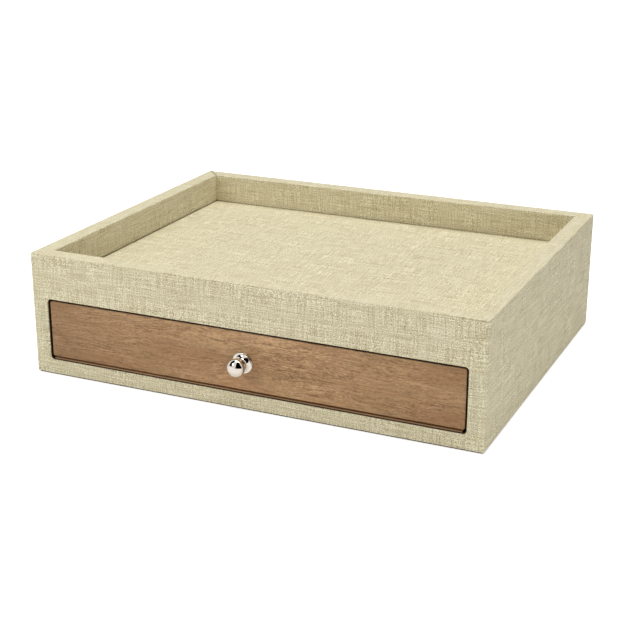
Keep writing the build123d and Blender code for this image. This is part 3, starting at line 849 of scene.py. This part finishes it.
# %% Lamps
def soft_lamp(name, place, aim, width, height, watts, mirrored=True):
    """Area lamp of the given size at place, turned to aim, all in metres. Metal shows it only
    where mirrored is true."""
    lamp = bpy.data.lights.new(name, "AREA")
    lamp.shape = "RECTANGLE"
    lamp.size, lamp.size_y = width, height
    lamp.energy = watts
    holder = bpy.data.objects.new(name, lamp)
    bpy.context.scene.collection.objects.link(holder)
    holder.visible_glossy = mirrored
    back = np.array(place) - np.array(aim)
    back = back / np.linalg.norm(back)
    across = np.cross([0.0, 1.0, 0.0] if abs(back[2]) > 0.99 else [0.0, 0.0, 1.0], back)
    across = across / np.linalg.norm(across)
    up = np.cross(back, across)
    turn = np.eye(4)
    turn[:3, 0], turn[:3, 1], turn[:3, 2], turn[:3, 3] = across, up, back, place
    holder.matrix_world = Matrix(turn.tolist())
    return holder


soft_lamp("lamp_above", (0.1, 0.1, 1.6), (0, 0, 0.05), 1.4, 1.4, 25.0)
soft_lamp("strip_right", (1.05, -0.85, 0.16), (0.1, 0, 0.04), 0.8, 0.24, 3.2, False)
soft_lamp("key_left", (-0.48, -0.83, 0.5), (0, -0.12, 0.04), 0.28, 0.28, 2.7)

# %% [markdown]
# ## The camera
# The picture was taken from the front right and from above. The camera stands about a metre
# away, with a lens long enough to keep the box's edges nearly parallel. Its place, its lens and
# its three directions come from matching the box's edges in the picture.

# %% Camera
camera_data = bpy.data.cameras.new("camera")
camera_data.sensor_width = 36.0
camera_data.lens = 78.912
camera = bpy.data.objects.new("camera", camera_data)
bpy.context.scene.collection.objects.link(camera)
camera_place = np.array([385.59, -871.06, 367.4]) * MM
camera_right = np.array([0.91032, 0.41391, 0.0008])
camera_up = np.array([-0.14017, 0.30648, 0.94151])
camera_back = np.array([0.38946, -0.85717, 0.337])
stand = np.eye(4)
stand[:3, 0], stand[:3, 1] = camera_right, camera_up
stand[:3, 2], stand[:3, 3] = camera_back, camera_place
camera.matrix_world = Matrix(stand.tolist())
bpy.context.scene.camera = camera
bpy.context.scene.view_settings.view_transform = "Standard"
print("camera at", camera_place)

# %% [markdown]
# ## Dark cards for the knob
# A polished ball shows the whole room in small, and a room that is white all round makes it
# look like plaster. Studios hang black cards out of the picture for this. Two cards stand
# 0.9 metres from the knob, and only mirror images see them. They are placed so that the ball
# shows dark patches where the picture does, whatever stood there in the real room. Each is a
# strip whose two long edges are given by where they should show on the ball: the line of sight
# meets the ball there, and mirrored at its surface it points to the card's corner.

# %% Cards
card_distance = 0.9


def card_corner(across, up):
    """Point at the cards' distance from the ball that shows at the given place of its picture,
    in units of the ball's radius. With P on the ball, where (x / a)^2 + (y / c)^2 + (z / a)^2
    = 1, the surface faces n = (x / a^2, y / c^2, z / a^2), and the mirrored sight line is
    2 (n v) n - v."""
    shape = 1 / np.array([ball_radius, ball_half_depth, ball_radius]) ** 2
    start = ball_radius * (across * camera_right + up * camera_up)
    square = camera_back @ (shape * camera_back)
    mixed = start @ (shape * camera_back)
    rest = start @ (shape * start) - 1
    on_ball = start + camera_back * (np.sqrt(mixed ** 2 - square * rest) - mixed) / square
    surface = shape * on_ball / np.linalg.norm(shape * on_ball)
    mirrored = 2 * (surface @ camera_back) * surface - camera_back
    return (knob_centre - [0, ball_distance, 0]) * MM + card_distance * mirrored


black_card, tree, shader = new_material("black_card", 1.0, Specular_IOR_Level=0.0)
shader.inputs["Base Color"].default_value = paint("#080808")
card_edges = {
    "card_right": ([(-0.04, -0.07), (0.05, 0.30), (0.15, 0.60)],
                   [(0.66, -0.07), (0.50, 0.30), (0.31, 0.60)]),
    "card_left": ([(-0.63, 0.20), (-0.54, 0.48), (-0.31, 0.71), (-0.08, 0.78)],
                  [(-0.38, 0.14), (-0.30, 0.38), (-0.17, 0.57), (-0.02, 0.67)]),
}
for card_name, edges in card_edges.items():
    card_mesh = bpy.data.meshes.new(card_name)
    card_points = [card_corner(*place).tolist() for edge in edges for place in edge]
    card_mesh.from_pydata(card_points, [], grid_faces(2, len(edges[0])).tolist())
    card = bpy.data.objects.new(card_name, card_mesh)
    bpy.context.scene.collection.objects.link(card)
    for ray in ("camera", "diffuse", "transmission", "volume_scatter", "shadow"):
        setattr(card, "visible_" + ray, False)
    dress(black_card, card)
print("cards:", list(card_edges))
